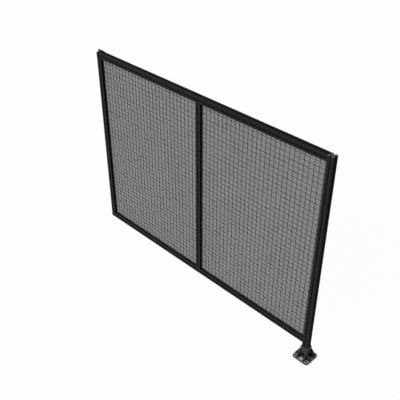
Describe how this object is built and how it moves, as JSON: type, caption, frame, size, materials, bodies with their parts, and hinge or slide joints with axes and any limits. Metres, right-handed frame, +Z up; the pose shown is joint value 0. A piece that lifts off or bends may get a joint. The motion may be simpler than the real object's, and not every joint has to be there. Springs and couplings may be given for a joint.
{
  "type": "machine guard fence panel",
  "caption": "Guard fence panel: a slotted aluminium frame with a centre mullion holds two wire mesh bays, and one end post stands in a ribbed cast floor foot.",
  "frame": {"origin": "centre of the foot's underside, on the floor", "axes": "+X along the panel towards the foot post, -Y the guarded front, +Z up"},
  "size_m": [2.2525, 0.135, 1.676],
  "materials": {
    "anodised_frame": "black anodised, satin, fine drawing lines along the bars",
    "slot_cover": "dull olive yellow extruded plastic strip",
    "cast_foot": "die-cast, grey coated, fine cast grain",
    "joining_plate": "steel plate, black powder coat, fine grain",
    "mesh_wire": "welded steel wire, black powder coat",
    "infill_sheet": "mid grey coated sheet, matt",
    "edging": "black extruded rubber"
  },
  "bodies": {
    "root": {"floor_foot": "cast_foot", "foot_post": "anodised_frame", "left_stile": "anodised_frame", "top_rail": "anodised_frame", "bottom_rail": "anodised_frame", "mullion": "anodised_frame", "foot_post_cover": "slot_cover", "left_stile_cover": "slot_cover", "top_rail_cover": "slot_cover", "bottom_rail_cover": "slot_cover", "mullion_cover": "slot_cover", "upper_joining_plate": "joining_plate", "lower_joining_plate": "joining_plate", "left_sheet": "infill_sheet", "right_sheet": "infill_sheet", "left_mesh_lower": "mesh_wire", "left_mesh_middle": "mesh_wire", "left_mesh_upper": "mesh_wire", "right_mesh_lower": "mesh_wire", "right_mesh_middle": "mesh_wire", "right_mesh_upper": "mesh_wire", "left_bay_edging_left": "edging", "left_bay_edging_right": "edging", "left_bay_edging_bottom": "edging", "left_bay_edging_top": "edging", "right_bay_edging_left": "edging", "right_bay_edging_right": "edging", "right_bay_edging_bottom": "edging", "right_bay_edging_top": "edging"}
  },
  "joints": []
}
